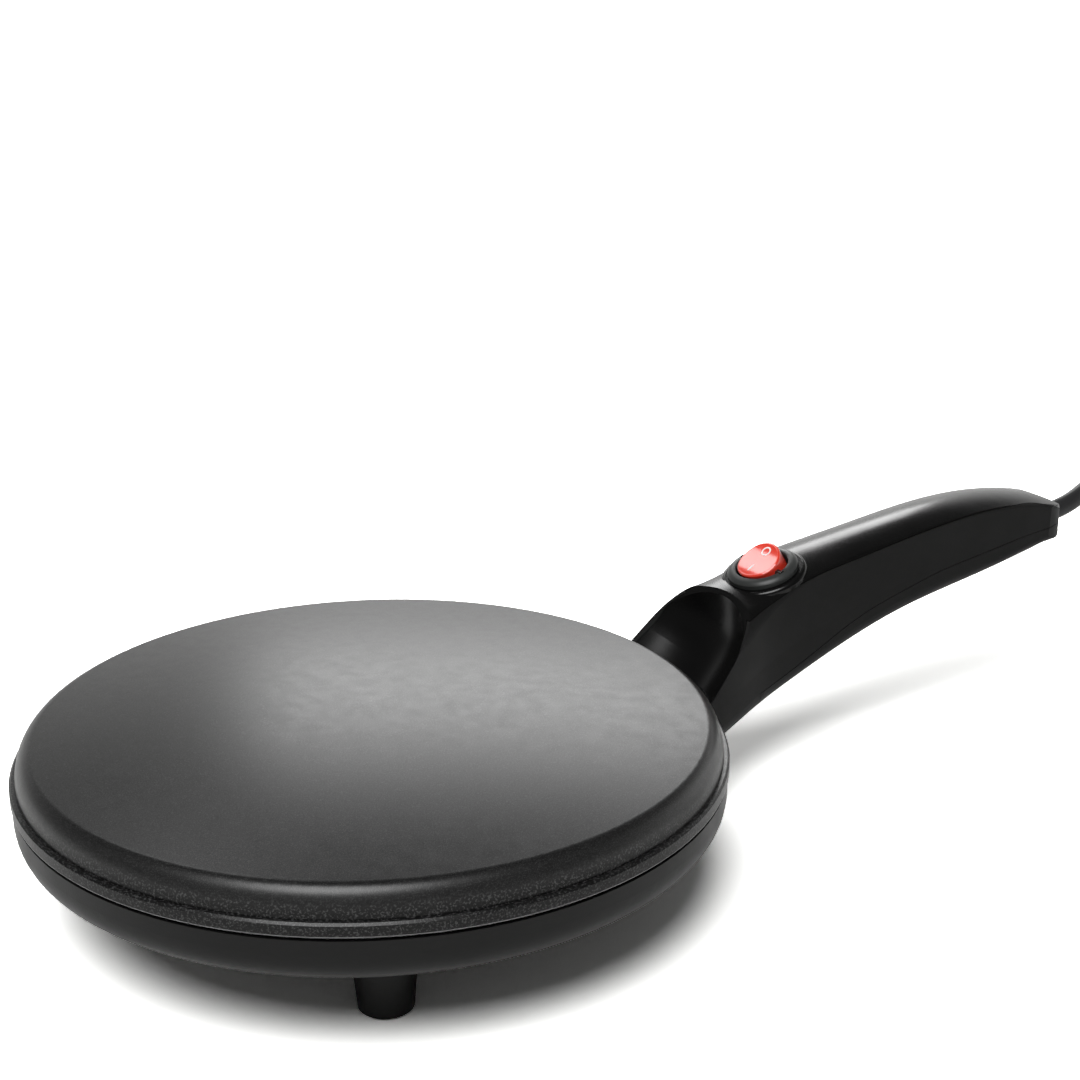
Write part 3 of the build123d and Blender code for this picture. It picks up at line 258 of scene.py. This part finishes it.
class Finish:
    """A Principled material in the row frame's coordinates, with a few ways to vary it."""

    def __init__(self, name, color, roughness, **sockets):
        self.material = bpy.data.materials.new(name)
        self.material.use_nodes = True
        self.tree = self.material.node_tree
        self.shader = self.tree.nodes["Principled BSDF"]
        self.shader.inputs["Base Color"].default_value = (*color, 1.0)
        self.shader.inputs["Roughness"].default_value = roughness
        for socket, value in sockets.items():
            self.shader.inputs[socket.replace("_", " ")].default_value = value
        self.place = self.node("ShaderNodeTexCoord").outputs["Object"]

    def node(self, kind, inputs=(), **settings):
        return add_node(self.tree, kind, inputs, **settings)

    def feed(self, socket, value):
        self.tree.links.new(value, self.shader.inputs[socket])

    def along(self, axis):
        return self.node("ShaderNodeSeparateXYZ", {0: self.place}).outputs[axis]

    def noise(self, scale, detail, rough=0.55):
        return self.node("ShaderNodeTexNoise", {"Vector": self.place, "Scale": scale,
                                                "Detail": detail,
                                                "Roughness": rough}).outputs["Fac"]

    def ramp(self, value, low, high, to_low=0.0, to_high=1.0):
        return self.node("ShaderNodeMapRange", {"Value": value, "From Min": low, "From Max": high,
                                                "To Min": to_low, "To Max": to_high}).outputs[0]

    def mix(self, factor, first, second):
        """A colour between two, each a socket or a constant."""
        ends = [end if isinstance(end, bpy.types.NodeSocket) else (*end, 1.0)
                for end in (first, second)]
        return self.node("ShaderNodeMix", {"Factor": factor, "A": ends[0], "B": ends[1]},
                         data_type="RGBA").outputs["Result"]

    def bump(self, height, distance, strength=1.0):
        self.feed("Normal", self.node("ShaderNodeBump", {"Height": height, "Distance": distance,
                                                         "Strength": strength}).outputs[0])

    def vary_roughness(self, value, low, high):
        self.feed("Roughness", self.ramp(value, *NOISE_RANGE, low, high))

    def vary_color(self, value, low, high):
        self.feed("Base Color", self.mix(self.ramp(value, *NOISE_RANGE), low, high))


def moulded(name, color, roughness, spread=0.05, grain=2400, depth=0.00001, **sockets):
    """Moulded plastic or rubber: fine grain, and gloss that varies a little over the part."""
    finish = Finish(name, color, roughness, **sockets)
    finish.bump(finish.noise(grain, 2.0), depth)
    finish.vary_roughness(finish.noise(60, 4.0), roughness - spread, roughness + spread)
    finish.vary_color(finish.noise(35, 5.0), color, [c * 1.25 for c in color])
    return finish


def metal(name, color, roughness):
    """Bare metal: fine marks and a mottled tone."""
    finish = Finish(name, color, roughness, Metallic=1.0)
    finish.bump(finish.noise(1500, 3.0), 0.000008)
    finish.vary_roughness(finish.noise(140, 5.0), roughness - 0.07, roughness + 0.1)
    finish.vary_color(finish.noise(90, 4.0), [c * 0.85 for c in color], color)
    return finish


def non_stick():
    """Coating full of metal grains, shinier on its rubbed shoulder, bare at its faced edge."""
    finish = Finish("plate_coating", (0.02, 0.02, 0.02), 0.32, Specular_IOR_Level=0.28,
                    Coat_IOR=1.5, Coat_Roughness=0.38)
    height = finish.along("Z")
    rubbed = calc(finish.tree, "MULTIPLY", finish.ramp(height, *DOME_EDGE),
                  finish.ramp(height, *SHOULDER_FOOT))
    bare = finish.ramp(height, *FACED_EDGE)
    fine = finish.ramp(finish.noise(3600, 2.0, 0.6), 0.50, 0.64, 0.0, 0.6)
    coarse = finish.ramp(finish.noise(1900, 2.0, 0.6), 0.53, 0.62)
    grain = finish.node("ShaderNodeMix", {"Factor": finish.ramp(height, *RIM_TOP),
                                          "A": fine, "B": coarse},
                        data_type="FLOAT").outputs["Result"]
    coat = finish.mix(grain, COATING, COATING_GRAIN)
    uneven = finish.ramp(finish.noise(260, 2.0), *NOISE_RANGE, 0.28, 0.32)
    finish.feed("Base Color", finish.mix(bare, coat, BARE_PLATE))
    finish.feed("Metallic", finish.ramp(bare, 0.0, 1.0, 0.0, 0.9))
    finish.feed("Roughness", calc(finish.tree, "ADD", uneven,
                                  finish.ramp(rubbed, 0.0, 1.0, 0.0, 0.08)))
    finish.feed("Coat Weight", finish.ramp(rubbed, 0.0, 1.0, 0.0, 0.6))
    finish.bump(finish.noise(1500, 1.0, 0.5), 0.000006, 0.6)
    return finish


def rocker_plastic():
    """Glossy translucent red; the trunnions at its two sides get painted shade, near black and
    uncoated, as if hidden under the bezel.
    """
    finish = moulded("rocker_red", ROCKER_RED, 0.16, spread=0.02, depth=0.000004,
                     Subsurface_Weight=0.25, Subsurface_Scale=0.002, Coat_IOR=1.9,
                     Coat_Roughness=0.08)
    # Painted shade: past this reach the trunnions turn near black and lose their coat, standing in
    # for the bezel's shade
    pin_shade = finish.ramp(calc(finish.tree, "ABSOLUTE", finish.along("Y")), *ROCKER_SHADE_EDGE)
    red = finish.shader.inputs["Base Color"].links[0].from_socket
    finish.feed("Base Color", finish.mix(pin_shade, red, PIN_PAINTED_SHADE))
    finish.feed("Coat Weight", finish.ramp(pin_shade, 0.0, 1.0, 1.0, 0.0))
    return finish


FINISHES = [
    non_stick(),
    moulded("base_plastic", (0.006, 0.006, 0.006), 0.36, grain=1800, depth=0.00002,
            Specular_IOR_Level=0.25),
    moulded("gloss_plastic", (0.002, 0.002, 0.002), 0.22, spread=0.03, depth=0.000003,
            Specular_IOR_Level=0.35),
    moulded("satin_plastic", (0.010, 0.010, 0.010), 0.48, grain=1700, depth=0.00003,
            Specular_IOR_Level=0.12),
    moulded("bezel_plastic", (0.030, 0.032, 0.031), 0.35, Specular_IOR_Level=0.3),
    moulded("rubber", (0.012, 0.012, 0.012), 0.7, grain=900, depth=0.00004,
            Specular_IOR_Level=0.2),
    moulded("clamp_plastic", (0.03, 0.03, 0.03), 0.5),
    moulded("cord_jacket", (0.012, 0.012, 0.013), 0.45, grain=900, depth=0.00003),
    moulded("plug_plastic", (0.014, 0.014, 0.015), 0.38),
    moulded("wire_brown", (0.12, 0.045, 0.02), 0.45),
    moulded("wire_blue", (0.02, 0.09, 0.35), 0.45),
    moulded("wire_red", (0.4, 0.02, 0.02), 0.45),
    moulded("ceramic", (0.75, 0.73, 0.68), 0.55, grain=700, depth=0.00005),
    moulded("fuse_body", (0.5, 0.48, 0.42), 0.5),
    moulded("thermostat_body", (0.35, 0.32, 0.28), 0.5),
    metal("element_steel", (0.32, 0.30, 0.27), 0.36),
    metal("steel", (0.56, 0.56, 0.57), 0.3),
    metal("screw_steel", (0.45, 0.45, 0.46), 0.28),
    metal("brass", (0.72, 0.52, 0.22), 0.3),
    rocker_plastic(),
    moulded("lamp_glass", (0.75, 0.35, 0.2), 0.1, Transmission_Weight=0.6),
    moulded("mark_white", (0.85, 0.80, 0.80), 0.4),
]
finishes = {finish.material.name: finish.material for finish in FINISHES}
for node in nodes.values():
    for slot in node.material_slots:
        slot.material = finishes[slot_names[slot.material]]
cord.data.materials.append(finishes["cord_jacket"])
for mark in marks:
    mark.data.materials.append(finishes["mark_white"])

# --- floor, sky and lamps -----------------------------------------------------

FLOOR_REACH = 30.0  # from the middle to each side
FLOOR_COLOR = (0.86, 0.86, 0.85)
FLOOR_SEEN = (2.15, 2.15, 2.12, 1.0)  # for camera rays: white wherever the floor is lit
FILL = 0.085  # strength of the sky as a lamp
TO_RIGHT = (0.77, 0.64)  # direction along the backdrop, in x and y
# Brightness of the backdrop in reflections, upwards and along it: (place, level) of each end
BACKDROP_UP = (0.26, 1.0), (0.60, 0.06)
BACKDROP_ALONG = (0.10, 0.12), (0.90, 1.0)


def studio_floor():
    """Pale floor; the camera sees it white except in shadow, and sees through it from below."""
    mesh = bpy.data.meshes.new("studio_floor")
    corners = [(-1, -1), (1, -1), (1, 1), (-1, 1)]
    mesh.from_pydata([(FLOOR_REACH * x, FLOOR_REACH * y, 0) for x, y in corners],
                     [], [(0, 1, 2, 3)])
    floor = bpy.data.objects.new("studio_floor", mesh)
    finish = Finish("studio_floor", FLOOR_COLOR, 0.6, Specular_IOR_Level=0.1)
    finish.vary_roughness(finish.noise(30, 3.0), 0.55, 0.65)

    def either(switch, first, second):
        return finish.node("ShaderNodeMixShader", {0: switch, 1: first, 2: second}).outputs[0]

    seen = finish.node("ShaderNodeBsdfDiffuse", {"Color": FLOOR_SEEN}).outputs[0]
    clear = finish.node("ShaderNodeBsdfTransparent").outputs[0]
    to_camera = finish.node("ShaderNodeLightPath").outputs["Is Camera Ray"]
    from_below = finish.node("ShaderNodeNewGeometry").outputs["Backfacing"]
    surface = either(from_below, either(to_camera, finish.shader.outputs[0], seen), clear)
    finish.tree.links.new(surface, finish.tree.nodes["Material Output"].inputs["Surface"])
    mesh.materials.append(finish.material)
    links.link(floor)


def sky():
    """White to the camera, a backdrop bright low down and to the right in reflections, dim fill."""
    world = bpy.data.worlds.new("studio")
    scene.world = world
    world.use_nodes = True
    tree = world.node_tree

    def ease(value, ends):
        node = add_node(tree, "ShaderNodeValToRGB", {0: value})
        node.color_ramp.interpolation = "EASE"
        for element, (at, level) in zip(node.color_ramp.elements, ends):
            element.position = at
            element.color = (level, level, level, 1.0)
        return node.outputs[0]

    place = add_node(tree, "ShaderNodeTexCoord").outputs["Generated"]
    x, y, z = add_node(tree, "ShaderNodeSeparateXYZ", {0: place}).outputs
    right = calc(tree, "ADD", calc(tree, "MULTIPLY", x, TO_RIGHT[0]),
                 calc(tree, "MULTIPLY", y, TO_RIGHT[1]))
    backdrop = calc(tree, "MULTIPLY", ease(z, BACKDROP_UP), ease(right, BACKDROP_ALONG))
    path = add_node(tree, "ShaderNodeLightPath").outputs
    mirrored = calc(tree, "MAXIMUM", path["Is Glossy Ray"], path["Is Transmission Ray"])
    level = calc(tree, "MAXIMUM", calc(tree, "MULTIPLY", mirrored, backdrop), FILL)
    level = calc(tree, "MAXIMUM", level, path["Is Camera Ray"])
    background = tree.nodes["Background"]
    background.inputs["Color"].default_value = (1.0, 1.0, 0.99, 1.0)
    tree.links.new(level, background.inputs["Strength"])


def key_light(azimuth, elevation, width, strength):
    """A broad sun: a soft light from one side that is even over the whole floor."""
    data = bpy.data.lights.new("key", "SUN")
    data.angle = math.radians(width)
    data.energy = strength
    lamp = bpy.data.objects.new("key", data)
    lamp.rotation_euler = (math.radians(90 - elevation), 0.0, math.radians(azimuth + 90))
    links.link(lamp)


def softbox(name, at, target, width, height, power):
    data = bpy.data.lights.new(name, "AREA")
    data.shape = "RECTANGLE"
    data.size, data.size_y = width, height
    data.energy = power
    lamp = bpy.data.objects.new(name, data)
    lamp.location = at
    lamp.rotation_euler = (Vector(target) - Vector(at)).to_track_quat("-Z", "Y").to_euler()
    links.link(lamp)


studio_floor()
sky()
key_light(azimuth=-142.0, elevation=60.0, width=38.0, strength=2.8)
softbox("softbox_behind", at=(0.62, 0.95, 0.58), target=(-0.07, 0.0, 0.05),
        width=0.62, height=0.30, power=3.2)
softbox("softbox_left", at=(0.0, 0.66, 0.76), target=(0.05, 0.0, 0.06),
        width=0.26, height=0.26, power=0.62)

scene.view_settings.view_transform = "Standard"
